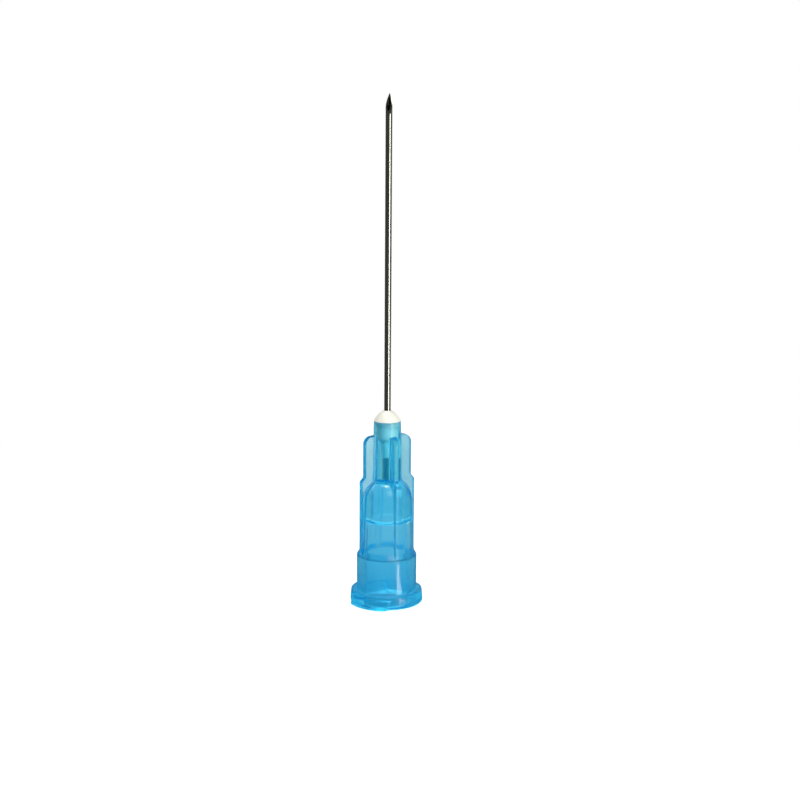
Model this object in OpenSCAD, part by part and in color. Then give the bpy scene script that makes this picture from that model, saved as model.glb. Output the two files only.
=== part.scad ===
// Hypodermic needle: a moulded plastic hub, a bonded steel cannula and its lancet point.
// The origin is the centre of the hub's open mouth, and +Z runs along the axis to the point.
// All sizes are in millimetres and all angles in degrees.

/* [Cannula] */
// Outside diameter of the steel tube
tube_d = 0.64; // [0.5:0.01:0.8]
// Wall thickness of the steel tube
tube_wall = 0.152; // [0.08:0.002:0.18]
// Length of tube that stands clear of the bonding cone, measured to the point
tube_exposed = 30.1; // [16:0.1:50]

/* [Lancet point] */
// Angle between the main bevel and the axis
bevel_angle = 15.4; // [11:0.1:22]
// Angle between each side facet and the axis
facet_angle = 20.6; // [18:0.1:30]
// Turn of each side facet to either side of the main bevel
facet_turn = 30; // [20:1:40]
// Height that the main bevel would reach above the point
bevel_rise = 0.05; // [0.02:0.01:0.2]
// Direction that the bevel faces, anticlockwise from +X
point_turn = 225; // [0:5:355]

/* [Luer socket] */
// Diameter of the tapered socket at its mouth
socket_d = 4.3; // [4.1:0.05:4.5]
// Change of the socket's diameter over its depth, in percent
socket_taper = 6; // [4:0.5:8]
// Depth of the tapered socket
socket_depth = 8.2; // [7.5:0.1:10]
// Width of the lead-in chamfer at the mouth
mouth_chamfer = 0.12; // [0.05:0.01:0.2]
// Height of the small step above the taper
socket_step_h = 0.2; // [0.1:0.05:0.4]

/* [Chamber and cannula seat] */
// Diameter of the small chamber above the socket
chamber_d = 2.9; // [2.4:0.1:3.4]
// Height of the chamber, from the socket's end to its top
chamber_h = 3.8; // [2.6:0.1:5]
// Radius that rounds the chamber's top
chamber_round = 1.1; // [0.4:0.05:1.15]
// Thickness of the ledge that the cannula stands on
ledge_t = 0.35; // [0.2:0.05:0.6]
// Radial overlap of the ledge under the cannula's wall
ledge_lip = 0.1; // [0.04:0.01:0.14]
// Length of bore that guides the cannula between ledge and well
guide_l = 2.15; // [1.2:0.05:4]
// Radial clearance between the cannula and its guide bore
guide_clearance = 0.01; // [0.005:0.005:0.03]

/* [Bonding well and cone] */
// Depth of the well below the top of the neck, with its lead-in
well_depth = 3.58; // [2.6:0.01:5]
// Diameter of the well under its funnel
well_d = 1.36; // [1.1:0.02:1.7]
// Height of the sloped floor of the well
well_floor_h = 0.35; // [0.1:0.05:0.6]
// Diameter of the lead-in at the floor of the well
lead_d = 0.82; // [0.7:0.02:1]
// Length of the tapered lead-in between well and guide bore
lead_l = 1.5; // [0.5:0.05:2]
// Diameter of the funnel at the top of the neck
funnel_d = 1.9; // [1.76:0.02:2.2]
// Depth of the funnel
funnel_depth = 0.6; // [0.2:0.05:1]
// Height of the adhesive cone above the neck
cone_h = 1.02; // [0.6:0.02:2.2]
// Width of adhesive around the tube at the top of the cone
cone_tip_w = 0.06; // [0.02:0.01:0.15]
// Outward bulge of the cone's side
cone_bulge = 0.07; // [0:0.01:0.15]

/* [Hub stem and neck] */
// Diameter of the neck at its top
neck_d = 2.62; // [2.5:0.02:3]
// Diameter of the stem at its foot
stem_d = 2.84; // [2.7:0.02:3.2]
// Length of plain neck above the ribs
neck_l = 1.4; // [0.6:0.05:2.5]
// Wall of plastic around the tapered socket
socket_wall = 0.59; // [0.45:0.01:0.65]
// Radius of the rounded shoulder between body and stem
shoulder_r = 2.03; // [1.7:0.01:2.4]
// Distance of the shoulder's start below the top of the chamber
shoulder_drop = 1.7; // [1.4:0.05:2.1]
// Radius of the hollow fillet where the stem meets the shoulder
stem_fillet = 0.35; // [0.15:0.05:0.5]

/* [Ribs] */
// Number of ribs around the hub
rib_count = 4; // [2:1:6]
// Thickness of a rib where it leaves the axis
rib_root_t = 0.78; // [0.6:0.02:1]
// Thickness of a rib at its outer edge
rib_tip_t = 0.7; // [0.5:0.02:0.9]
// Radius over the ribs on the upper tier
rib_upper_r = 2.45; // [2.2:0.01:2.6]
// Radius over the ribs on the lower tier
rib_lower_r = 2.82; // [2.7:0.01:2.86]
// Height of the lower tier's shoulder above the top of the chamber
rib_step_rise = 0.2; // [0:0.05:0.6]
// Height of the sloped step between the tiers
rib_step_h = 0.45; // [0.2:0.05:0.8]
// Radius of the rounded top corner of each rib
rib_corner_r = 0.8; // [0.3:0.05:1]

/* [Collar and flange] */
// Diameter of the plain collar
collar_d = 5.86; // [5.76:0.01:6.4]
// Height of the collar's top edge above the mouth
collar_top = 4.73; // [3.5:0.01:6]
// Height of the chamfer above the collar
collar_chamfer_h = 0.57; // [0.3:0.01:0.9]
// Thickness of the flange
flange_t = 1.24; // [0.9:0.02:1.6]
// Diameter of the flange at its foot
flange_d = 7.12; // [6.8:0.02:7.3]
// Loss of the flange's radius from foot to top
flange_draft = 0.08; // [0:0.01:0.15]
// Radius of the flange's rounded foot edge
foot_round = 0.24; // [0.1:0.01:0.3]
// Radius of the hollow fillet between flange and collar
collar_fillet = 0.12; // [0.05:0.01:0.2]

/* [Locking lugs] */
// Diameter over the two lugs
lug_d = 7.83; // [7.5:0.01:8]
// Width of a lug across its outer face
lug_w = 4; // [3:0.1:4.6]
// Height of a lug at its outer face
lug_h = 0.95; // [0.6:0.01:1.05]
// Slope of a lug's upper face
lug_slope = 12; // [0:1:20]
// Sideways lean of a lug's ends from foot to top
lug_lean = 0.55; // [0:0.05:0.8]
// Direction of the first lug, anticlockwise from +X
lug_turn = 35; // [0:5:85]

/* [Hidden] */
$fn = 96;
arc_steps = 10;
overshoot = 1;

tube_r = tube_d / 2;
lumen_r = tube_r - tube_wall;
guide_r = tube_r + guide_clearance;
ledge_hole_r = tube_r - ledge_lip;
mouth_r = socket_d / 2;
chamber_r = chamber_d / 2;
neck_r = neck_d / 2;
stem_r = stem_d / 2;
collar_r = collar_d / 2;
flange_r = flange_d / 2;
lug_r = lug_d / 2;

chamber_top = socket_depth + chamber_h;
cannula_foot = chamber_top + ledge_t;
well_foot = cannula_foot + guide_l;
well_floor = well_foot + lead_l;
neck_top = well_foot + well_depth;
cone_top = neck_top + cone_h;
point_z = cone_top + tube_exposed;
rib_top = neck_top - neck_l;
rib_step_z = chamber_top + rib_step_rise;
shoulder_z = chamber_top - shoulder_drop;
collar_chamfer_top = collar_top + collar_chamfer_h;
cutter = 4 * tube_d / tan(bevel_angle);

// Radius of the tapered socket at a height above the mouth
function socket_r(z) = mouth_r - z * socket_taper / 200;

// Outer radius of the hub's body at a height, parallel to the socket inside it
function body_r(z) = socket_r(z) + socket_wall;

// Points along an arc in a radius and height plane
function arc_points(centre, radius, start, end) =
    [for (i = [0 : arc_steps])
        let (a = start + (end - start) * i / arc_steps)
        [centre[0] + radius * cos(a), centre[1] + radius * sin(a)]];

// Centres of the shoulder's arc and of the fillet that meets it and the stem
shoulder_c = [body_r(shoulder_z) - shoulder_r, shoulder_z];
fillet_dr = stem_r + stem_fillet - shoulder_c[0];
fillet_dz = sqrt(pow(shoulder_r + stem_fillet, 2) - pow(fillet_dr, 2));
fillet_c = [stem_r + stem_fillet, shoulder_z + fillet_dz];
shoulder_end = atan2(fillet_dz, fillet_dr);

// Outer surface of the hub, without ribs and lugs, as one turned profile
module hub_turning() {
    flange_top_r = flange_r - flange_draft;
    rotate_extrude()
        polygon(concat(
            [[0, 0]],
            arc_points([flange_r - foot_round, foot_round], foot_round, -90, 0),
            [[flange_top_r, flange_t], [collar_r + collar_fillet, flange_t]],
            arc_points([collar_r + collar_fillet, flange_t + collar_fillet], collar_fillet, 270, 180),
            [[collar_r, collar_top], [body_r(collar_chamfer_top), collar_chamfer_top]],
            arc_points(shoulder_c, shoulder_r, 0, shoulder_end),
            arc_points(fillet_c, stem_fillet, 180 + shoulder_end, 180),
            [[neck_r, neck_top], [0, neck_top]]
        ));
}

// Turned envelope that gives all ribs their two tiers and rounded top corners
module rib_envelope() {
    rotate_extrude()
        polygon(concat(
            [[0, collar_top - overshoot],
             [rib_lower_r, collar_top - overshoot],
             [rib_lower_r, rib_step_z],
             [rib_upper_r, rib_step_z + rib_step_h]],
            arc_points([rib_upper_r - rib_corner_r, rib_top - rib_corner_r], rib_corner_r, 0, 90),
            [[0, rib_top]]
        ));
}

// One radial slab per rib, thinner towards its outer edge
module rib_slabs() {
    for (i = [0 : rib_count - 1])
        rotate([0, 0, i * 360 / rib_count])
            translate([0, 0, collar_top - overshoot])
                linear_extrude(height = rib_top - collar_top + 2 * overshoot)
                    polygon([
                        [0, -rib_root_t / 2],
                        [collar_r, -rib_tip_t / 2],
                        [collar_r, rib_tip_t / 2],
                        [0, rib_root_t / 2]
                    ]);
}

// One locking lug on +X: a turned wing between two leaning ends
module lug() {
    wing_r = flange_r - flange_draft - foot_round;
    top_z = lug_h + (lug_r - wing_r) * tan(lug_slope);
    intersection() {
        rotate_extrude()
            polygon(concat(
                [[wing_r, 0]],
                arc_points([lug_r - foot_round, foot_round], foot_round, -90, 0),
                [[lug_r, lug_h], [wing_r, top_z]]
            ));
        rotate([90, 0, 90])
            linear_extrude(height = lug_r + overshoot)
                polygon([
                    [-lug_w / 2 - lug_lean / 2, 0],
                    [lug_w / 2 - lug_lean / 2, 0],
                    [lug_w / 2 + lug_lean / 2, top_z],
                    [-lug_w / 2 + lug_lean / 2, top_z]
                ]);
    }
}

// Side of the bonding well, from the guide bore up to the rim of the funnel
function well_side() = [
    [guide_r, well_foot],
    [lead_d / 2, well_floor],
    [well_d / 2, well_floor + well_floor_h],
    [well_d / 2, neck_top - funnel_depth],
    [funnel_d / 2, neck_top]
];

// Everything that is hollow in the hub: socket, chamber, ledge hole, guide bore and well
module hub_bore() {
    rotate_extrude()
        polygon(concat(
            [[0, -overshoot],
             [mouth_r + mouth_chamfer, -overshoot],
             [mouth_r + mouth_chamfer, 0],
             [socket_r(mouth_chamfer), mouth_chamfer],
             [socket_r(socket_depth), socket_depth],
             [chamber_r, socket_depth + socket_step_h]],
            arc_points([chamber_r - chamber_round, chamber_top - chamber_round], chamber_round, 0, 90),
            [[ledge_hole_r, chamber_top],
             [ledge_hole_r, cannula_foot],
             [guide_r, cannula_foot]],
            well_side(),
            [[funnel_d / 2, neck_top + overshoot],
             [0, neck_top + overshoot]]
        ));
}

// Hub: one translucent moulding
module hub() {
    color([0.24, 0.65, 0.82, 0.75])
        difference() {
            union() {
                hub_turning();
                intersection() {
                    rib_envelope();
                    rib_slabs();
                }
                for (side = [0, 180])
                    rotate([0, 0, lug_turn + side])
                        lug();
            }
            hub_bore();
        }
}

// Removes what lies in front of a plane that leans from the axis by an angle
module grind(turn, angle, rise) {
    translate([-tube_r, 0, point_z + rise])
        rotate([0, 0, turn])
            rotate([0, 90 - angle, 0])
                translate([-cutter / 2, -cutter / 2, 0])
                    cube(cutter);
}

// Cannula: a steel tube ground to a lancet point with three facets
module cannula() {
    color([0.72, 0.72, 0.71])
        rotate([0, 0, point_turn])
            difference() {
                translate([0, 0, cannula_foot])
                    cylinder(h = point_z - cannula_foot, r = tube_r);
                translate([0, 0, cannula_foot - overshoot])
                    cylinder(h = point_z - cannula_foot + 2 * overshoot, r = lumen_r);
                grind(0, bevel_angle, bevel_rise);
                for (side = [-1, 1])
                    grind(side * facet_turn, facet_angle, 0);
            }
}

// Adhesive: fills the well, covers the neck and rises to the tube in a blunt cone
module adhesive() {
    foot = [neck_r, neck_top];
    tip = [tube_r + cone_tip_w, cone_top];
    rotate_extrude()
        polygon(concat(
            [[tube_r, well_foot]],
            well_side(),
            [for (i = [0 : arc_steps])
                let (t = i / arc_steps)
                foot + (tip - foot) * t + [1, 1] * cone_bulge * 4 * t * (1 - t)],
            [[tube_r, cone_top]]
        ));
}

hub();
cannula();
color([0.96, 0.95, 0.9]) adhesive();
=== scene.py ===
# %% [markdown]
# Hypodermic needle, dressed for a portrait
#
# The object is a single-use needle: a translucent blue hub, a thin steel tube and a drop of ivory glue
# between them. Its solids already exist at their real size. This lesson loads them, then puts a finely
# rounded surface over each one, because rounded edges, clear plastic and ground steel are what the eye
# reads first. It ends with the studio: a white table, three soft lamps, and separate surroundings for
# the camera, for mirror rays and for rays that pass through the plastic.

# %% Load the frame
import math

import bpy
import numpy as np
from mathutils import Matrix, Vector

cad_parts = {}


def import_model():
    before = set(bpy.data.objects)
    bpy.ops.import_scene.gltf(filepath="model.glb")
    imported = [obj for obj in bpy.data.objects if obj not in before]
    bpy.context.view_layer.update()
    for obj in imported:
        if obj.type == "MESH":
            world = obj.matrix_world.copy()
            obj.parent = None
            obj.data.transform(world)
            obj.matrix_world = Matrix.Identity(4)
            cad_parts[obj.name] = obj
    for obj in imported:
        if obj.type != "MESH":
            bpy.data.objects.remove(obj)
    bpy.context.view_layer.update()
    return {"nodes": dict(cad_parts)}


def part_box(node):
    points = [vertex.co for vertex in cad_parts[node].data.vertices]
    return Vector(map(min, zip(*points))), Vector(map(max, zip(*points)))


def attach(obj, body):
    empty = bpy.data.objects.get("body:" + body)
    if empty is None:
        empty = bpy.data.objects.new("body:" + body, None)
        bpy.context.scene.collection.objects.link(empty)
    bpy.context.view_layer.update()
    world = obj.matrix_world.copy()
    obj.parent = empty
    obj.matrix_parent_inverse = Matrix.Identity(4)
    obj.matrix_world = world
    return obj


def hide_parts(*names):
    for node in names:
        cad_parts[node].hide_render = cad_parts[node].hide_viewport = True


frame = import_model()

MM = 0.001
TURN = 2 * math.pi
BODY = "root"
print("solids in the frame:", sorted(frame["nodes"]))

# %% [markdown]
# The sizes of the real thing
#
# All shapes below follow these lengths in millimetres. The heights that two pieces share are read from
# the solids' own boxes, so a piece always sits where the frame has it.

# %% Sizes in millimetres
def top_of(node):
    """Height of a solid's highest point, in millimetres."""
    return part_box(node)[1].z / MM


def foot_of(node):
    """Height of a solid's lowest point, in millimetres."""
    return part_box(node)[0].z / MM


TUBE_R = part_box("cannula")[1].x / MM
LUMEN_R = TUBE_R - 0.152
CANNULA_FOOT = foot_of("cannula")
POINT_Z = top_of("cannula")

MOUTH_R = 2.15
SOCKET_TAPER = 0.03
SOCKET_DEPTH = 8.2
MOUTH_CHAMFER = 0.12
CHAMBER_R = 1.45
CHAMBER_TOP = 12.0
CHAMBER_ROUND = 1.3
LEDGE_HOLE_R = TUBE_R - 0.1
WELL_FOOT = foot_of("adhesive")
WELL_R = 0.68
WELL_FLOOR = WELL_FOOT + 1.5
WELL_FLOOR_H = 0.35
LEAD_R = 0.41
FUNNEL_R = 0.95
FUNNEL_DEPTH = 0.6

NECK_TOP = top_of("hub")
NECK_R = 1.31
STEM_R = 1.42
SOCKET_WALL = 0.59
SHOULDER_R = 2.03
SHOULDER_Z = CHAMBER_TOP - 1.7
STEM_FILLET = 0.35

RIB_ROOT_T = 0.78
RIB_TIP_T = 0.70
RIB_UPPER_R = 2.45
RIB_LOWER_R = 2.82
RIB_TOP = NECK_TOP - 1.4
RIB_STEP_Z = CHAMBER_TOP + 0.2
RIB_STEP_H = 0.45
RIB_CORNER_R = 0.8

COLLAR_R = 2.93
COLLAR_TOP = 4.73
COLLAR_CHAMFER_H = 0.57
COLLAR_FILLET = 0.12
FLANGE_R = 3.56
FLANGE_T = 1.24
FLANGE_DRAFT = 0.08
FOOT_ROUND = 0.24

LUG_R = 3.915
LUG_HALF_W = 2.0
LUG_H = 0.95
LUG_SLOPE = math.tan(math.radians(12))
LUG_LEAN = 0.55
LUG_TURN = math.radians(35)
print(f"tube {2 * TUBE_R:.2f} mm, point at {POINT_Z:.1f} mm, neck at {NECK_TOP:.2f} mm")

# %% [markdown]
# A grid of points becomes a mesh
#
# Each piece is a surface with two parameters, worked out by numpy as one array of points. Rows run
# along the piece and columns run round it. Here the array is handed to Blender in one call. A hub with
# a hole right through it closes both ways, like a ring, so it has no edge and no pole at all.

# %% Grid to mesh
def grid_faces(rows, cols, close_rows):
    """Quads between neighbouring rows and columns. Columns always close, and rows close if asked."""
    r = np.arange(rows if close_rows else rows - 1)[:, None]
    c = np.arange(cols)[None, :]
    r2 = (r + 1) % rows
    c2 = (c + 1) % cols
    return np.stack([r * cols + c, r * cols + c2, r2 * cols + c2, r2 * cols + c], -1).reshape(-1, 4)


def mesh_piece(name, points, close_rows=True, smooth=True):
    """An object at the origin from an array of (rows, columns, 3) in millimetres."""
    rows, cols = points.shape[:2]
    mesh = bpy.data.meshes.new(name)
    faces = grid_faces(rows, cols, close_rows)
    mesh.from_pydata((points.reshape(-1, 3) * MM).tolist(), [], faces.tolist())
    mesh.polygons.foreach_set("use_smooth", np.full(len(faces), smooth))
    mesh.update()
    piece = bpy.data.objects.new(name, mesh)
    bpy.context.scene.collection.objects.link(piece)
    print(f"{name}: {rows} x {cols} grid, {2 * len(faces)} triangles")
    return piece


def arc(centre, radius, start, end, steps):
    """Points along an arc, centre plus radius times (cos, sin), between two angles in degrees."""
    a = np.radians(np.linspace(start, end, steps))
    return np.stack([centre[0] + radius * np.cos(a), centre[1] + radius * np.sin(a)], 1)


def straight(start, end, steps):
    """Points from start up to, but without, end: start plus (end - start) times a fraction."""
    t = np.linspace(0, 1, steps, endpoint=False)[:, None]
    return np.array(start) + (np.array(end) - np.array(start)) * t


# %% [markdown]
# The hub's profile
#
# The hub is a mould's work: a turned body with ribs and lugs raised on it. A lathe profile gives the
# turned body, as a list of (radius, height). Moulds are never razor sharp, so each corner is a small
# arc. The profile runs up the outside, over the neck's rim, down inside through the glue well, the
# guide bore, the chamber and the tapered socket, and back to its start.

# %% Hub profile
EDGE = 0.06


def socket_radius(z):
    """Radius of the tapered socket: the mouth's radius less 3 percent of the height."""
    return MOUTH_R - SOCKET_TAPER * z


def body_radius(z):
    """Outside of the body, one wall's thickness out from the socket."""
    return socket_radius(z) + SOCKET_WALL


def corner(before, at, after, radius, steps=5):
    """Rounds the corner at a point: an arc that touches both straight lines at equal distances."""
    before, at, after = (np.array(p, float) for p in (before, at, after))
    to_before = (before - at) / np.linalg.norm(before - at)
    to_after = (after - at) / np.linalg.norm(after - at)
    half = math.acos(np.clip(to_before @ to_after, -1, 1)) / 2
    middle = to_before + to_after
    centre = at + middle / np.linalg.norm(middle) * radius / math.sin(half)
    first = at + to_before * radius / math.tan(half) - centre
    last = at + to_after * radius / math.tan(half) - centre
    total = math.pi - 2 * half
    t = np.linspace(0, 1, steps)[:, None]
    return centre + (np.sin((1 - t) * total) * first + np.sin(t * total) * last) / math.sin(total)


def shoulder_points():
    """Rounded shoulder and hollow fillet: two touching arcs between the body and the stem."""
    centre = (body_radius(SHOULDER_Z) - SHOULDER_R, SHOULDER_Z)
    across = STEM_R + STEM_FILLET - centre[0]
    rise = math.sqrt((SHOULDER_R + STEM_FILLET) ** 2 - across ** 2)
    end = math.degrees(math.atan2(rise, across))
    fillet = (STEM_R + STEM_FILLET, SHOULDER_Z + rise)
    dome = arc(centre, SHOULDER_R, 0, end, 22)
    hollow = arc(fillet, STEM_FILLET, 180 + end, 180, 8)
    return np.concatenate([dome, hollow[1:]])


def outer_profile():
    """Outside of the turned body, from the foot up to the neck's rim.

    Rows lie closest where a ridge changes most: over the lugs' slopes, the ribs' step and their tops.
    """
    flange_top = (FLANGE_R - FLANGE_DRAFT, FLANGE_T)
    flange_side = (FLANGE_R, FOOT_ROUND)
    lug_slope_foot = (FLANGE_R - 0.045, LUG_H - 0.09)
    lug_slope_head = (FLANGE_R - 0.06, LUG_H + 0.11)
    fillet_foot = (COLLAR_R + COLLAR_FILLET, FLANGE_T)
    collar_edge = (COLLAR_R, COLLAR_TOP)
    chamfer_z = COLLAR_TOP + COLLAR_CHAMFER_H
    chamfer_end = (body_radius(chamfer_z), chamfer_z)
    shoulder = shoulder_points()
    rib_step = (1.40, RIB_STEP_Z)
    rib_step_head = (1.39, RIB_STEP_Z + 0.55)
    rib_bend = (1.35, RIB_TOP - RIB_CORNER_R)
    rib_end = (1.335, RIB_TOP + 0.02)
    neck_edge = (NECK_R, NECK_TOP)
    return np.concatenate([
        arc((FLANGE_R - FOOT_ROUND, FOOT_ROUND), FOOT_ROUND, -90, 0, 9),
        straight(flange_side, lug_slope_foot, 5)[1:],
        straight(lug_slope_foot, lug_slope_head, 12),
        corner(flange_side, flange_top, fillet_foot, EDGE),
        arc((COLLAR_R + COLLAR_FILLET, FLANGE_T + COLLAR_FILLET), COLLAR_FILLET, 270, 180, 7),
        straight((COLLAR_R, FLANGE_T + COLLAR_FILLET), (COLLAR_R, COLLAR_TOP - 0.1), 12)[1:],
        corner((COLLAR_R, FLANGE_T), collar_edge, chamfer_end, 0.1),
        straight((COLLAR_R - 0.06, COLLAR_TOP + 0.1), (chamfer_end[0] + 0.05, chamfer_z - 0.08), 10),
        corner(collar_edge, chamfer_end, shoulder[0], 0.04, 4),
        straight((body_radius(chamfer_z + 0.05), chamfer_z + 0.05), shoulder[0], 20),
        shoulder,
        straight(shoulder[-1], rib_step, 4)[1:],
        straight(rib_step, rib_step_head, 9),
        straight(rib_step_head, rib_bend, 14),
        straight(rib_bend, rib_end, 24),
        straight(rib_end, (NECK_R, NECK_TOP - EDGE), 7),
        corner(shoulder[-1], neck_edge, (0, NECK_TOP), EDGE),
    ])


def inner_profile():
    """Inside of the hub, from the neck's rim down to the mouth."""
    rim = (FUNNEL_R, NECK_TOP)
    well = (WELL_R, NECK_TOP - FUNNEL_DEPTH)
    well_floor = (WELL_R, WELL_FLOOR + WELL_FLOOR_H)
    lead = (LEAD_R, WELL_FLOOR)
    guide = TUBE_R - 0.004
    ledge = (LEDGE_HOLE_R, CHAMBER_TOP)
    socket_end = (socket_radius(SOCKET_DEPTH), SOCKET_DEPTH)
    step = (CHAMBER_R, SOCKET_DEPTH + 0.02)
    dome = arc((CHAMBER_R - CHAMBER_ROUND, CHAMBER_TOP - CHAMBER_ROUND), CHAMBER_ROUND, 90, 0, 14)
    chamfer = (socket_radius(MOUTH_CHAMFER), MOUTH_CHAMFER)
    mouth = (MOUTH_R + MOUTH_CHAMFER, 0)
    return np.concatenate([
        corner((NECK_R, NECK_TOP), rim, well, 0.04, 3),
        corner(rim, well, well_floor, 0.3, 6),
        corner(well, well_floor, lead, 0.14, 6),
        corner(well_floor, lead, (guide, WELL_FOOT), 0.1, 5),
        straight((LEAD_R - 0.01, WELL_FLOOR - 0.14), (guide, WELL_FOOT), 6),
        straight((guide, WELL_FOOT), (guide, CANNULA_FOOT), 6),
        corner((guide, CANNULA_FOOT), (LEDGE_HOLE_R, CANNULA_FOOT), ledge, 0.02, 3),
        corner((LEDGE_HOLE_R, CANNULA_FOOT), ledge, (0.5, CHAMBER_TOP), 0.04, 4),
        dome,
        straight((CHAMBER_R, CHAMBER_TOP - CHAMBER_ROUND), (CHAMBER_R, step[1] + 0.35), 8)[1:],
        corner((CHAMBER_R, CHAMBER_TOP), step, socket_end, 0.3, 8),
        corner(step, socket_end, chamfer, 0.05, 4),
        straight((socket_end[0], SOCKET_DEPTH - 0.08), chamfer, 26)[1:],
        corner(socket_end, chamfer, mouth, 0.04, 3),
        corner(chamfer, mouth, (FLANGE_R, 0), 0.04, 4),
        straight((MOUTH_R + MOUTH_CHAMFER + 0.05, 0), (FLANGE_R - FOOT_ROUND, 0), 6)[1:],
    ])


outside = outer_profile()
inside = inner_profile()
print(f"profile: {len(outside)} points outside, {len(inside)} inside")

# %% [markdown]
# Ribs and lugs in plan
#
# Seen from above, a rib is a flat-sided ridge on a round body: a short arc over its outer edge, a
# rounded corner, a straight side and a hollow fillet at its foot, then the body's own arc. A lug is the
# same shape, only wider and lower. One function gives both, for all rows at once. Where the ridge has
# no height, its points slide apart along the circle, so no thin slivers pile up there.

# %% Plan outline of a ridge
def ridge_half(core, reach, half_tip, half_root, end_angle, counts, edge, root):
    """Angles and radii from a ridge's middle to its sector's end, one row of points per profile row.

    In words: points run along the outer circle, round the corner arc, down the straight side, along the
    fillet arc and then along the body's circle. The last count is for that body circle.
    """
    n_tip, n_corner, n_side, n_fillet, n_core = counts
    rise = np.maximum(reach - core, 1e-3)
    outer = core + rise
    e = np.minimum(edge, 0.35 * rise)
    f = np.minimum(root, 0.35 * rise)
    corner_x = np.sqrt((outer - e) ** 2 - (half_tip - e) ** 2)
    corner_a = np.arctan2(half_tip - e, corner_x)
    fillet_x = np.sqrt((core + f) ** 2 - (half_root + f) ** 2)
    fillet_a = np.arctan2(half_root + f, fillet_x)

    tip_t = corner_a * np.linspace(0, 1, n_tip, endpoint=False)
    tip = np.stack([outer * np.cos(tip_t), outer * np.sin(tip_t)], -1)
    turn = corner_a + (math.pi / 2 - corner_a) * np.linspace(0, 1, n_corner, endpoint=False)
    bend = np.stack([corner_x + e * np.cos(turn), half_tip - e + e * np.sin(turn)], -1)
    t = np.linspace(0, 1, n_side, endpoint=False)
    side = np.stack([corner_x + (fillet_x - corner_x) * t, half_tip + (half_root - half_tip) * t], -1)
    turn = 1.5 * math.pi + (fillet_a - math.pi / 2) * np.linspace(0, 1, n_fillet, endpoint=False)
    fillet = np.stack([fillet_x + f * np.cos(turn), half_root + f + f * np.sin(turn)], -1)
    core_t = fillet_a + (end_angle - fillet_a) * np.linspace(0, 1, n_core)
    body = np.stack([core * np.cos(core_t), core * np.sin(core_t)], -1)
    half = np.concatenate([tip, bend, side, fillet, body], 1)
    return np.arctan2(half[..., 1], half[..., 0]), np.hypot(half[..., 0], half[..., 1])


def ridge_ring(core, reach, halves, ridges, first, columns, counts, edge, root, spread):
    """Angles and radii of a whole ring of ridges, with the first one centred on a given angle.

    halves holds (half width at the tip, half width at the root) for the left and the right side. Rows
    whose ridge has no height keep the body's radius and slide towards evenly spaced angles.
    """
    step = TURN / columns
    n_half = columns // ridges // 2
    left = ridge_half(core, reach, *halves[0], math.pi / ridges, counts, edge, root)
    right = ridge_half(core, reach, *halves[1], math.pi / ridges, counts, edge, root)
    angle = np.concatenate([-right[0][:, :0:-1], left[0][:, :-1]], 1)
    radius = np.concatenate([right[1][:, :0:-1], left[1][:, :-1]], 1)
    middle = round(first / step)
    even = (np.arange(-n_half, n_half) + middle) * step
    keep = np.clip(1 + (reach - core) / spread, 0, 1)
    angle = even + keep * (first + angle - even)
    radius = np.where(reach > core, radius, core)
    turns = np.arange(ridges) * TURN / ridges
    angle = (angle[:, None, :] + turns[None, :, None]).reshape(len(core), columns)
    radius = np.tile(radius, (1, ridges))
    shift = middle - n_half
    return np.roll(angle, shift, 1), np.roll(radius, shift, 1)


# %% [markdown]
# How far ribs and lugs reach at each height
#
# The ribs come in two tiers, as in the photograph: the lower tier is stepped out, and the upper one
# ends in a large rounded corner. The two lugs sit low on the flange. Their upper faces slope and their
# ends lean, because they are the start of a screw thread that a locking syringe pulls on.

# %% Reach of the ridges
def rib_reach(z):
    """Radius over the ribs at a height: two tiers, a sloped step and a quarter circle at the top."""
    a = np.linspace(0, math.pi / 2, 24)
    round_z = RIB_TOP - RIB_CORNER_R + RIB_CORNER_R * np.sin(a)
    round_r = RIB_UPPER_R - RIB_CORNER_R + RIB_CORNER_R * np.cos(a)
    heights = [0, RIB_STEP_Z, RIB_STEP_Z + RIB_STEP_H, *round_z, RIB_TOP + 0.02, RIB_TOP + 0.5]
    reaches = [RIB_LOWER_R, RIB_LOWER_R, RIB_UPPER_R, *round_r, 1.15, 0.9]
    return np.interp(z, heights, reaches)


def lug_reach(z):
    """Radius over the lugs at a height: a rounded foot, an upright face and a sloping upper face."""
    foot = LUG_R - FOOT_ROUND + np.sqrt(FOOT_ROUND ** 2 - np.clip(FOOT_ROUND - z, 0, FOOT_ROUND) ** 2)
    slope = LUG_R - (z - LUG_H) / LUG_SLOPE
    soft = 0.02
    gap = np.clip(soft - np.abs(foot - slope), 0, None)
    return np.minimum(foot, slope) - gap ** 2 / (4 * soft)


def rib_half_width(radius, z, narrow):
    """Half a rib's thickness: thinner outwards by the mould's draft, and rounded off at the very top."""
    drafted = RIB_ROOT_T / 2 + (RIB_TIP_T - RIB_ROOT_T) / 2 * radius / COLLAR_R
    near_top = np.clip(z - (RIB_TOP - narrow), 0, narrow)
    return drafted - (narrow - np.sqrt(narrow ** 2 - near_top ** 2))


# %% [markdown]
# The hub's surface
#
# Every profile row is wrapped round the axis with its own plan outline. The rows close up through the
# socket, so the hub is one watertight skin with a hole right through it. It replaces the plain solid
# and keeps its size.

# %% Hub surface
COLUMNS = 256
RIB_COUNTS = (6, 6, 6, 6, 9)
LUG_COUNTS = (30, 6, 4, 6, 19)


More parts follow.
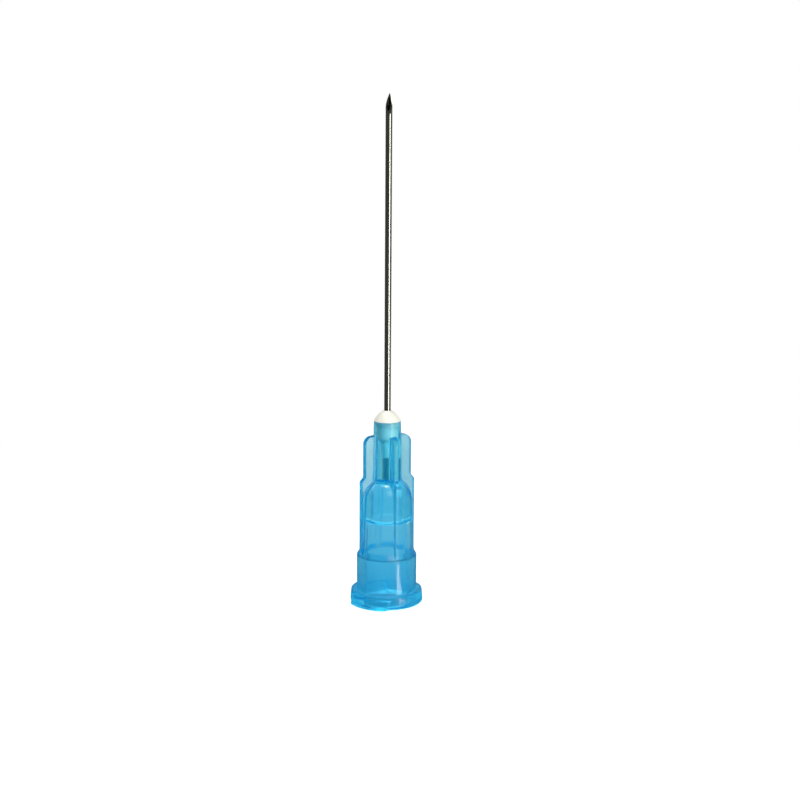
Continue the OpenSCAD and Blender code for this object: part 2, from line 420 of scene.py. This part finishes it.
def hub_outside():
    """Grid of points over the outside of the hub."""
    r, z = outside[:, :1], outside[:, 1:]
    upper = z > COLLAR_TOP - 1.0
    rib_r = rib_reach(z)
    rib_half = (rib_half_width(rib_r, z, 0.11), rib_half_width(r, z, 0.11))
    ribs = ridge_ring(r, rib_r, (rib_half, rib_half), 4, 0, COLUMNS, RIB_COUNTS, 0.11, 0.16, 0.25)
    lug_r = lug_reach(z)
    lean = LUG_LEAN * np.clip(z / (LUG_H + 0.1), 0, 1) - LUG_LEAN / 2
    ends = ((LUG_HALF_W + lean,) * 2, (LUG_HALF_W - lean,) * 2)
    lugs = ridge_ring(r, lug_r, ends, 2, LUG_TURN, COLUMNS, LUG_COUNTS, 0.12, 0.12, 0.25)
    angle = np.where(upper, ribs[0], lugs[0])
    radius = np.where(upper, ribs[1], lugs[1])
    height = np.broadcast_to(z, radius.shape)
    return np.stack([radius * np.cos(angle), radius * np.sin(angle), height], -1)


def turned(profile, columns):
    """Grid of points of a lathe shape: each (radius, height) of the profile carried round the axis."""
    a = np.arange(columns) * TURN / columns
    r, z = profile[:, :1], profile[:, 1:]
    return np.stack([r * np.cos(a), r * np.sin(a), np.broadcast_to(z, (len(r), columns))], -1)


hub = mesh_piece("hub_moulding", np.concatenate([hub_outside(), turned(inside, COLUMNS)]))
hub.data.set_sharp_from_angle(angle=math.radians(50))
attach(hub, BODY)
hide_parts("hub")

# %% [markdown]
# The cannula
#
# Needle tube is drawn steel, cut at a slant and then ground twice more from the sides. The long first
# cut makes the bevel, and the two side cuts meet in a sharp point, which is called a lancet point. Each
# cut is a plane, so the tube's end is the lowest of three planes at every place on its wall.

# %% Cannula surface
BEVEL_TURN = math.radians(225)
BEVEL = math.tan(math.radians(15.4))
FACET = math.tan(math.radians(20.6))
FACET_TURN = math.radians(30)
BEVEL_RISE = 0.05
TUBE_COLUMNS = 192


def cut_height(x, y):
    """Height of the ground end over a place in plan: the lowest of the bevel and the two side planes."""
    main = POINT_Z + BEVEL_RISE - (x + TUBE_R) / BEVEL
    sides = [
        POINT_Z - (x * math.cos(t) + y * math.sin(t) + TUBE_R * math.cos(t)) / FACET
        for t in (FACET_TURN, -FACET_TURN)
    ]
    return np.minimum(np.minimum(main, POINT_Z), np.minimum(*sides))


def cannula_points():
    """Outer wall up, across the ground face, inner wall down and back across the foot."""
    a = np.arange(TUBE_COLUMNS) * TURN / TUBE_COLUMNS
    ring_x, ring_y = np.cos(a), np.sin(a)
    up = np.concatenate([np.linspace(0, 0.9, 40, endpoint=False), np.linspace(0.9, 1, 24)])
    across = np.linspace(0, 1, 7)[1:-1]
    radius = np.concatenate([
        np.full(len(up), TUBE_R), TUBE_R + (LUMEN_R - TUBE_R) * across, np.full(len(up), LUMEN_R),
        LUMEN_R + (TUBE_R - LUMEN_R) * np.array([0.33, 0.67]),
    ])[:, None]
    share = np.concatenate([up, np.ones(len(across)), up[::-1], np.zeros(2)])[:, None]
    x, y = radius * ring_x, radius * ring_y
    z = CANNULA_FOOT + (cut_height(x, y) - CANNULA_FOOT) * share
    turned_x = x * math.cos(BEVEL_TURN) - y * math.sin(BEVEL_TURN)
    turned_y = x * math.sin(BEVEL_TURN) + y * math.cos(BEVEL_TURN)
    return np.stack([turned_x, turned_y, z], -1)


cannula = mesh_piece("steel_cannula", cannula_points())
cannula.data.set_sharp_from_angle(angle=math.radians(25))
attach(cannula, BODY)
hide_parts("cannula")

# %% [markdown]
# The glue
#
# Ivory epoxy is dropped into the well round the tube. It wets both surfaces, climbs the steel a little
# and cures as a blunt cone. Its skin here lies a hair's breadth inside the plastic, because two clear
# bodies in real contact have no air between them, and light goes straight from one to the other.

# %% Glue surface
CONE_TIP_W = 0.06
CONE_BULGE = 0.07
BOND = 0.012
RIPPLE = 0.012


def glue_points():
    """Lathe shape of the glue, with a slow ripple of a few hundredths of a millimetre on its cone."""
    top = top_of("adhesive")
    t = np.linspace(0, 1, 26)[:, None]
    foot = np.array([NECK_R, NECK_TOP])
    tip = np.array([TUBE_R + CONE_TIP_W, top])
    cone = foot + (tip - foot) * t + np.array([1.0, 1.0]) * CONE_BULGE * 4 * t * (1 - t)
    profile = np.concatenate([
        straight((TUBE_R - 0.01, WELL_FOOT + 0.02), (TUBE_R + BOND, WELL_FOOT), 2),
        straight((TUBE_R + BOND + 0.01, WELL_FOOT), (LEAD_R + BOND, WELL_FLOOR), 10),
        straight((LEAD_R + BOND, WELL_FLOOR), (WELL_R + BOND, WELL_FLOOR + WELL_FLOOR_H), 6),
        straight((WELL_R + BOND, WELL_FLOOR + WELL_FLOOR_H), (WELL_R + BOND, NECK_TOP - FUNNEL_DEPTH), 6),
        straight((WELL_R + BOND, NECK_TOP - FUNNEL_DEPTH), (FUNNEL_R + BOND, NECK_TOP - 0.02), 8),
        straight((FUNNEL_R + 0.03, NECK_TOP - 0.006), (NECK_R - 0.05, NECK_TOP - 0.006), 4),
        cone,
        np.array([[TUBE_R + 0.03, top - 0.006], [TUBE_R - 0.01, top - 0.03]]),
    ])
    grid = turned(profile, 128)
    a = np.arange(128) * TURN / 128
    on_cone = np.clip((profile[:, 1:] - NECK_TOP) / 0.25, 0, 1) * np.clip((top - profile[:, 1:]) / 0.3, 0, 1)
    waves = 0.5 + 0.5 * np.sin(2 * a + 0.7) + 0.3 * np.sin(5 * a + 2 * profile[:, 1:])
    ripple = 1 - RIPPLE * on_cone * waves
    grid[..., :2] *= ripple[..., None]
    return grid


glue = mesh_piece("epoxy_bond", glue_points())
glue.data.set_sharp_from_angle(angle=math.radians(50))
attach(glue, BODY)
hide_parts("adhesive")

# %% [markdown]
# Effects that finishes share
#
# Drawn steel and moulded plastic both carry very fine, stretched marks. One node group makes them from
# noise that is squeezed along chosen axes, and puts out a height and a mask. Each material then uses
# them at its own scale. A second group puts out a mask by the distance from the needle's axis, which
# places painted shade on the plastic and the steel, deep inside the needle and along the collar.

# %% Node helpers
def new_material(name):
    """A material with an empty node tree, its Principled shader and its output."""
    material = bpy.data.materials.new(name)
    material.use_nodes = True
    nodes = material.node_tree.nodes
    nodes.clear()
    output = nodes.new("ShaderNodeOutputMaterial")
    shader = nodes.new("ShaderNodeBsdfPrincipled")
    material.node_tree.links.new(shader.outputs["BSDF"], output.inputs["Surface"])
    return material, nodes, material.node_tree.links, shader, output


def fine_marks_group():
    """Node group: object coordinates in, a fine height and a slow mask out."""
    group = bpy.data.node_groups.new("fine_marks", "ShaderNodeTree")
    face = group.interface
    face.new_socket("Coordinates", in_out="INPUT", socket_type="NodeSocketVector")
    face.new_socket("Stretch", in_out="INPUT", socket_type="NodeSocketVector")
    face.new_socket("Scale", in_out="INPUT", socket_type="NodeSocketFloat")
    face.new_socket("Height", in_out="OUTPUT", socket_type="NodeSocketFloat")
    face.new_socket("Mask", in_out="OUTPUT", socket_type="NodeSocketFloat")
    nodes, links = group.nodes, group.links
    start = nodes.new("NodeGroupInput")
    end = nodes.new("NodeGroupOutput")
    stretch = nodes.new("ShaderNodeVectorMath")
    stretch.operation = "MULTIPLY"
    links.new(start.outputs["Coordinates"], stretch.inputs[0])
    links.new(start.outputs["Stretch"], stretch.inputs[1])
    for name, detail, factor in (("Height", 4.0, 1.0), ("Mask", 2.0, 0.17)):
        scale = nodes.new("ShaderNodeMath")
        scale.operation = "MULTIPLY"
        scale.inputs[1].default_value = factor
        noise = nodes.new("ShaderNodeTexNoise")
        noise.inputs["Detail"].default_value = detail
        links.new(start.outputs["Scale"], scale.inputs[0])
        links.new(stretch.outputs[0], noise.inputs["Vector"])
        links.new(scale.outputs[0], noise.inputs["Scale"])
        links.new(noise.outputs["Fac"], end.inputs[name])
    return group


MARKS = fine_marks_group()


def add_marks(nodes, links, stretch, scale):
    """Places the fine-marks group on object coordinates."""
    coords = nodes.new("ShaderNodeTexCoord")
    marks = nodes.new("ShaderNodeGroup")
    marks.node_tree = MARKS
    marks.inputs["Stretch"].default_value = stretch
    marks.inputs["Scale"].default_value = scale
    links.new(coords.outputs["Object"], marks.inputs["Coordinates"])
    return marks


def ramp(nodes, links, source, low, high):
    """Maps a mask that runs from 0.3 to 0.7 onto two values or two colours."""
    node = nodes.new("ShaderNodeValToRGB")
    node.color_ramp.elements[0].position = 0.3
    node.color_ramp.elements[1].position = 0.7
    for element, value in zip(node.color_ramp.elements, (low, high)):
        element.color = (*value, 1) if isinstance(value, tuple) else (value, value, value, 1)
    links.new(source, node.inputs["Fac"])
    return node.outputs["Color"]


def slope(nodes, links, direction, axis, low, high, low_value, high_value):
    """A value that changes from one to another between two places along an axis."""
    along = nodes.new("ShaderNodeVectorMath")
    along.operation = "DOT_PRODUCT"
    along.inputs[1].default_value = axis
    links.new(direction, along.inputs[0])
    spread = nodes.new("ShaderNodeMapRange")
    for name, value in zip(("From Min", "From Max", "To Min", "To Max"), (low, high, low_value, high_value)):
        spread.inputs[name].default_value = value
    links.new(along.outputs["Value"], spread.inputs["Value"])
    return spread.outputs["Result"]


def axis_mask_group():
    """Node group: coordinates in, and a mask out that rises between two distances from the axis."""
    group = bpy.data.node_groups.new("axis_mask", "ShaderNodeTree")
    face = group.interface
    face.new_socket("Coordinates", in_out="INPUT", socket_type="NodeSocketVector")
    face.new_socket("Near", in_out="INPUT", socket_type="NodeSocketFloat")
    face.new_socket("Far", in_out="INPUT", socket_type="NodeSocketFloat")
    face.new_socket("Mask", in_out="OUTPUT", socket_type="NodeSocketFloat")
    nodes, links = group.nodes, group.links
    start = nodes.new("NodeGroupInput")
    end = nodes.new("NodeGroupOutput")
    flat = nodes.new("ShaderNodeVectorMath")
    flat.operation = "MULTIPLY"
    flat.inputs[1].default_value = (1, 1, 0)
    length = nodes.new("ShaderNodeVectorMath")
    length.operation = "LENGTH"
    spread = nodes.new("ShaderNodeMapRange")
    links.new(start.outputs["Coordinates"], flat.inputs[0])
    links.new(flat.outputs[0], length.inputs[0])
    links.new(length.outputs["Value"], spread.inputs["Value"])
    links.new(start.outputs["Near"], spread.inputs["From Min"])
    links.new(start.outputs["Far"], spread.inputs["From Max"])
    links.new(spread.outputs["Result"], end.inputs["Mask"])
    return group


AXIS_MASK = axis_mask_group()


def from_axis(nodes, links, coords, near, far):
    """Places the axis-mask group, with its two distances in millimetres."""
    mask = nodes.new("ShaderNodeGroup")
    mask.node_tree = AXIS_MASK
    mask.inputs["Near"].default_value = near * MM
    mask.inputs["Far"].default_value = far * MM
    links.new(coords, mask.inputs["Coordinates"])
    return mask.outputs["Mask"]


def times(nodes, links, first, second):
    """A colour times a value or another colour."""
    node = nodes.new("ShaderNodeVectorMath")
    node.operation = "MULTIPLY"
    links.new(first, node.inputs[0])
    links.new(second, node.inputs[1])
    return node.outputs[0]


def product(nodes, links, first, second, plus=0.0):
    """One value times another, plus a third. The last two may be sockets or plain numbers."""
    node = nodes.new("ShaderNodeMath")
    node.operation = "MULTIPLY_ADD"
    links.new(first, node.inputs[0])
    for value, socket in ((second, node.inputs[1]), (plus, node.inputs[2])):
        if isinstance(value, (int, float)):
            socket.default_value = value
        else:
            links.new(value, socket)
    return node.outputs[0]


def mixed(nodes, links, share, first, second):
    """A mix of two shaders. The share of the second one is a plain number or a socket."""
    node = nodes.new("ShaderNodeMixShader")
    if isinstance(share, float):
        node.inputs["Fac"].default_value = share
    else:
        links.new(share, node.inputs["Fac"])
    links.new(first, node.inputs[1])
    links.new(second, node.inputs[2])
    return node.outputs[0]


def add_bump(nodes, links, source, shader, distance, strength=1.0):
    """Feeds a height through a Bump node to a shader's Normal."""
    bump = nodes.new("ShaderNodeBump")
    bump.inputs["Distance"].default_value = distance
    bump.inputs["Strength"].default_value = strength
    links.new(source, bump.inputs["Height"])
    links.new(bump.outputs["Normal"], shader.inputs["Normal"])


# %% [markdown]
# Clear blue polypropylene
#
# The hub is seen through, but it isn't glass: the plastic is a little cloudy, so edges inside it look
# soft, and a thick stretch is a deeper blue than a thin one. Roughness and a small share of milk, which
# is half diffuse and half translucent, give the cloudiness. A volume that absorbs red most gives the
# depth of colour. Two marks of painted shade are set by place: a thin dark line of painted shade along
# the collar's upper edge, and a deeper blue of painted shade round the bore that holds the steel.

# %% Painted shade by place on the hub
# The collar's thin dark line is painted shade along its upper edge: these set where it lies and how dark it
# is.
LINE_FROM_AXIS = (2.4, 2.45)
LINE_FOOT = (-0.06, -0.02)
LINE_HEAD = (0.08, 0.12)
LINE_PAINTED_SHADE = 0.55
# The guide bore's deeper blue is painted shade round the steel: these set where it lies and which blue it is.
GUIDE_FROM_AXIS = (0.34, 0.38)
GUIDE_PAINTED_SHADE_BLUE = (0.04, 0.5, 0.9)


def collar_painted_shade(nodes, links, coords):
    """A mask of the painted shade line: 1 outside a radius and between two heights near the collar's upper
    edge.
    """
    line = from_axis(nodes, links, coords, *LINE_FROM_AXIS)
    for heights, values in ((LINE_FOOT, (0, 1)), (LINE_HEAD, (1, 0))):
        limits = [(COLLAR_TOP + height) * MM for height in heights]
        line = product(nodes, links, line, slope(nodes, links, coords, (0, 0, 1), *limits, *values))
    return line


def tint_with_painted_shade(nodes, links, tint):
    """The plastic's tint, darkened by painted shade along the collar's line and made a deeper blue by painted
    shade round the guide bore.
    """
    coords = nodes.new("ShaderNodeTexCoord").outputs["Object"]
    line = collar_painted_shade(nodes, links, coords)
    tint = times(nodes, links, tint, product(nodes, links, line, -LINE_PAINTED_SHADE, 1.0))
    guide = product(nodes, links, from_axis(nodes, links, coords, *GUIDE_FROM_AXIS), 0.4, 0.3)
    return times(nodes, links, tint, ramp(nodes, links, guide, GUIDE_PAINTED_SHADE_BLUE, (1.0, 1.0, 1.0)))


# %% Hub material
MILK_BLUE = (0.02, 0.58, 0.95, 1)
MILK_SHARE = 0.14


def hub_material():
    """Translucent blue plastic."""
    material, nodes, links, shader, output = new_material("blue_polypropylene")
    marks = add_marks(nodes, links, (1, 1, 0.35), 900)
    tint = ramp(nodes, links, marks.outputs["Mask"], (0.76, 0.97, 0.97), (0.84, 1.0, 1.0))
    links.new(tint_with_painted_shade(nodes, links, tint), shader.inputs["Base Color"])
    rough = ramp(nodes, links, marks.outputs["Mask"], 0.12, 0.18)
    links.new(rough, shader.inputs["Roughness"])
    shader.inputs["Transmission Weight"].default_value = 1.0
    shader.inputs["Specular Tint"].default_value = (1.0, 0.85, 0.6, 1)
    shader.inputs["IOR"].default_value = 1.49
    add_bump(nodes, links, marks.outputs["Height"], shader, 0.00001, 0.5)
    volume = nodes.new("ShaderNodeVolumeAbsorption")
    volume.inputs["Color"].default_value = (0.0, 0.9, 0.99, 1)
    volume.inputs["Density"].default_value = 500
    links.new(volume.outputs["Volume"], output.inputs["Volume"])
    clear = nodes.new("ShaderNodeBsdfTransparent")
    clear.inputs["Color"].default_value = (0.88, 0.96, 0.98, 1)
    milk = [nodes.new("ShaderNodeBsdfDiffuse"), nodes.new("ShaderNodeBsdfTranslucent")]
    for cloud in milk:
        cloud.inputs["Color"].default_value = MILK_BLUE
    cloudy = mixed(nodes, links, 0.5, milk[0].outputs[0], milk[1].outputs[0])
    plastic = mixed(nodes, links, MILK_SHARE, shader.outputs[0], cloudy)
    path = nodes.new("ShaderNodeLightPath")
    surface = mixed(nodes, links, path.outputs["Is Shadow Ray"], plastic, clear.outputs[0])
    links.new(surface, output.inputs["Surface"])
    return material


# %% [markdown]
# Drawn steel
#
# The tube is drawn through a die, so its marks run along it. They are too fine to see one by one, but
# they smear the reflections up and down. The metal is plain stainless, so its colour is a nearly neutral
# grey. The bore gets painted shade: the mask by distance from the axis darkens its wall nearly to black.

# %% Cannula material
# Share of the colour left on the bore's wall, which is darkened as painted shade.
BORE_PAINTED_SHADE = 0.04


def steel_material():
    """Drawn and polished stainless steel."""
    material, nodes, links, shader, _ = new_material("drawn_steel")
    marks = add_marks(nodes, links, (1, 1, 0.02), 9000)
    tint = ramp(nodes, links, marks.outputs["Mask"], (0.48, 0.48, 0.41), (0.60, 0.60, 0.53))
    coords = nodes.new("ShaderNodeTexCoord").outputs["Object"]
    wall = from_axis(nodes, links, coords, LUMEN_R * 1.02, LUMEN_R * 1.05)
    bore = product(nodes, links, wall, 1.0 - BORE_PAINTED_SHADE, BORE_PAINTED_SHADE)
    links.new(times(nodes, links, tint, bore), shader.inputs["Base Color"])
    rough = ramp(nodes, links, marks.outputs["Height"], 0.155, 0.175)
    links.new(rough, shader.inputs["Roughness"])
    shader.inputs["Metallic"].default_value = 1.0
    add_bump(nodes, links, marks.outputs["Height"], shader, 0.000001, 0.1)
    return material


# %% [markdown]
# Ivory epoxy
#
# The glue is filled and opaque, with a smooth skin and a faint gloss. It is the only warm colour on the
# needle, so it stays just off white.

# %% Glue material
def epoxy_material():
    """Cured ivory epoxy."""
    material, nodes, links, shader, _ = new_material("ivory_epoxy")
    marks = add_marks(nodes, links, (1, 1, 1), 1800)
    tint = ramp(nodes, links, marks.outputs["Mask"], (0.84, 0.83, 0.71), (0.90, 0.89, 0.79))
    links.new(tint, shader.inputs["Base Color"])
    rough = ramp(nodes, links, marks.outputs["Height"], 0.32, 0.45)
    links.new(rough, shader.inputs["Roughness"])
    shader.inputs["Subsurface Weight"].default_value = 0.25
    shader.inputs["Subsurface Radius"].default_value = (1.0, 0.8, 0.6)
    shader.inputs["Subsurface Scale"].default_value = 0.0003
    add_bump(nodes, links, marks.outputs["Height"], shader, 0.00001, 0.4)
    return material


for piece, material in ((hub, hub_material()), (cannula, steel_material()), (glue, epoxy_material())):
    piece.data.materials.append(material)
    print(piece.name, "is finished in", material.name)

# %% [markdown]
# The studio
#
# A clear object takes its look from what stands behind it and a steel one from what stands in front.
# To the camera, the table and the space behind are white. To mirror rays the room is dim, apart from an
# upright softbox on the right, whose image is the bright line on the tube, a short bright strip on the
# table, whose image is the highlight on the collar, and a window behind for the far side of the tube.
# Rays that pass through the plastic see blue on the camera's side and white behind it. All of these are
# fixed in the room, so they stay where they are when the camera moves.

# %% Camera
AXIS_OFFSET = 1.21 * MM
CAMERA_AZIMUTH = math.radians(-25)
CAMERA_DISTANCE = 132.3 * MM
CAMERA_HEIGHT = 44.4 * MM
CAMERA_PITCH = math.radians(10.4)
CAMERA_ROLL = math.radians(-0.40)
FOCAL_PIXELS = 1392
PHOTO_PIXELS = 800

right = Vector((math.cos(CAMERA_AZIMUTH), math.sin(CAMERA_AZIMUTH), 0))
ahead = Vector((-math.sin(CAMERA_AZIMUTH), math.cos(CAMERA_AZIMUTH), 0))
place = right * AXIS_OFFSET - ahead * CAMERA_DISTANCE + Vector((0, 0, CAMERA_HEIGHT))
look = ahead * math.cos(CAMERA_PITCH) - Vector((0, 0, math.sin(CAMERA_PITCH)))
up = right.cross(look)
tilt = Matrix.Rotation(CAMERA_ROLL, 3, look)
axes = Matrix((tilt @ right, tilt @ up, -look)).transposed()

camera_data = bpy.data.cameras.new("camera")
camera_data.sensor_width = 36
camera_data.lens = FOCAL_PIXELS / PHOTO_PIXELS * camera_data.sensor_width
camera_data.clip_start = 0.001
camera = bpy.data.objects.new("camera", camera_data)
camera.matrix_world = Matrix.Translation(place) @ axes.to_4x4()
bpy.context.scene.collection.objects.link(camera)
bpy.context.scene.camera = camera
print("camera at", [round(c / MM, 1) for c in place], "mm")

# %% Table
def around(angle, distance, height):
    """A place beside the needle: an angle in degrees to the right of the camera, seen from above."""
    a = math.radians(angle)
    return (right * math.sin(a) - ahead * math.cos(a)) * distance + Vector((0, 0, height))


TABLE_R = 0.09
TABLE_WHITE = 0.9
TABLE_MIRRORED = 0.04
TABLE_GLOW = 0.5
STRIP_GLOW = 10.0
TABLE_THROUGH = 0.64
FRONT_BLUE = (0.03, 0.4, 0.72)
FAR_WHITE = (0.85, 0.9, 0.93)


def table():
    """A white round table top, a hair below the foot of the hub.

    Mirror rays see it dark with one bright strip, and rays through the plastic see blue fade to white.
    """
    steps = 96
    a = np.arange(steps) * TURN / steps
    rim = np.stack([TABLE_R * np.cos(a), TABLE_R * np.sin(a), np.full(steps, -2e-6)], 1)
    mesh = bpy.data.meshes.new("table")
    mesh.from_pydata(rim.tolist(), [], [list(range(steps))])
    top = bpy.data.objects.new("table", mesh)
    bpy.context.scene.collection.objects.link(top)
    material, nodes, links, shader, output = new_material("white_table")
    shader.inputs["Roughness"].default_value = 0.08
    shader.inputs["Specular IOR Level"].default_value = 1.0
    path = nodes.new("ShaderNodeLightPath")
    shade = product(nodes, links, path.outputs["Is Glossy Ray"], TABLE_MIRRORED - TABLE_WHITE, TABLE_WHITE)
    links.new(shade, shader.inputs["Base Color"])
    coords = nodes.new("ShaderNodeTexCoord").outputs["Object"]
    along, across = around(42, 1, 0), around(132, 1, 0)
    strip = path.outputs["Is Glossy Ray"]
    for axis, limits in (
        (along, (0.006, 0.009, 0, STRIP_GLOW)), (along, (0.016, 0.020, 1, 0)),
        (across, (-0.0013, -0.0007, 0, 1)), (across, (0.0007, 0.0013, 1, 0)),
    ):
        strip = product(nodes, links, strip, slope(nodes, links, coords, axis, *limits))
    glow = nodes.new("ShaderNodeEmission")
    glow.inputs["Color"].default_value = (1, 1, 1, 1)
    lit = product(nodes, links, path.outputs["Is Camera Ray"], TABLE_GLOW, strip)
    links.new(lit, glow.inputs["Strength"])
    add = nodes.new("ShaderNodeAddShader")
    links.new(shader.outputs["BSDF"], add.inputs[0])
    links.new(glow.outputs["Emission"], add.inputs[1])
    through = nodes.new("ShaderNodeEmission")
    through.inputs["Strength"].default_value = TABLE_THROUGH
    behind = slope(nodes, links, coords, ahead, -0.002, 0.020, 0.3, 0.7)
    links.new(ramp(nodes, links, behind, FRONT_BLUE, FAR_WHITE), through.inputs["Color"])
    seen = mixed(nodes, links, path.outputs["Is Transmission Ray"], add.outputs["Shader"], through.outputs[0])
    links.new(seen, output.inputs["Surface"])
    mesh.materials.append(material)


table()

# %% Lamps
def softbox(name, position, size, power):
    """A rectangular white area lamp that faces the middle of the needle."""
    data = bpy.data.lights.new(name, "AREA")
    data.shape = "RECTANGLE"
    data.size, data.size_y = size
    data.energy = power
    lamp = bpy.data.objects.new(name, data)
    lamp.location = position
    aim = Vector((0, 0, 0.02)) - lamp.location
    lamp.rotation_euler = aim.to_track_quat("-Z", "Y").to_euler()
    bpy.context.scene.collection.objects.link(lamp)


softbox("upright_softbox", around(42, 0.30, 0.05), (0.055, 0.30), 0.45)
softbox("high_softbox", around(24, 0.22, 0.25), (0.15, 0.15), 0.22)
softbox("top_softbox", around(245, 0.04, 0.32), (0.05, 0.16), 0.5)

# %% World
WINDOW_GLOW = 1.2
FILL = 0.42


def world():
    """White to the camera. Mirrors see a dim room, dimmest on the left, with a window behind.

    Through the plastic it is blue in front and white behind, and every other ray gets an even fill.
    """
    scene_world = bpy.data.worlds.new("studio")
    bpy.context.scene.world = scene_world
    scene_world.use_nodes = True
    nodes, links = scene_world.node_tree.nodes, scene_world.node_tree.links
    nodes.clear()
    output = nodes.new("ShaderNodeOutputWorld")
    direction = nodes.new("ShaderNodeTexCoord").outputs["Generated"]
    dim = slope(nodes, links, direction, right, -0.4, 1.0, 0.06, 0.2)
    behind = slope(nodes, links, direction, ahead, -0.5, 0.3, 0.3, 0.7)
    window = slope(nodes, links, direction, ahead, 0.0, 0.3, 0, WINDOW_GLOW)
    for axis, limits in (
        (right, (-0.5, -0.25, 0, 1)), (right, (0.1, 0.35, 1, 0)), ((0, 0, 1), (0.02, 0.12, 1, 0)),
    ):
        window = product(nodes, links, window, slope(nodes, links, direction, axis, *limits))
    room = nodes.new("ShaderNodeBackground")
    room.inputs["Color"].default_value = (1, 1, 1, 1)
    links.new(product(nodes, links, dim, 1.0, window), room.inputs["Strength"])
    fill = nodes.new("ShaderNodeBackground")
    fill.inputs["Color"].default_value = (1, 1, 1, 1)
    fill.inputs["Strength"].default_value = FILL
    through = nodes.new("ShaderNodeBackground")
    through.inputs["Strength"].default_value = 1.0
    links.new(ramp(nodes, links, behind, FRONT_BLUE, (1.0, 1.0, 1.0)), through.inputs["Color"])
    white = nodes.new("ShaderNodeBackground")
    white.inputs["Color"].default_value = (1, 1, 1, 1)
    white.inputs["Strength"].default_value = 1.0
    path = nodes.new("ShaderNodeLightPath")
    chosen = fill.outputs[0]
    for ray, light in (("Is Glossy Ray", room), ("Is Transmission Ray", through), ("Is Camera Ray", white)):
        chosen = mixed(nodes, links, path.outputs[ray], chosen, light.outputs[0])
    links.new(chosen, output.inputs["Surface"])


world()
bpy.context.scene.view_settings.view_transform = "Standard"
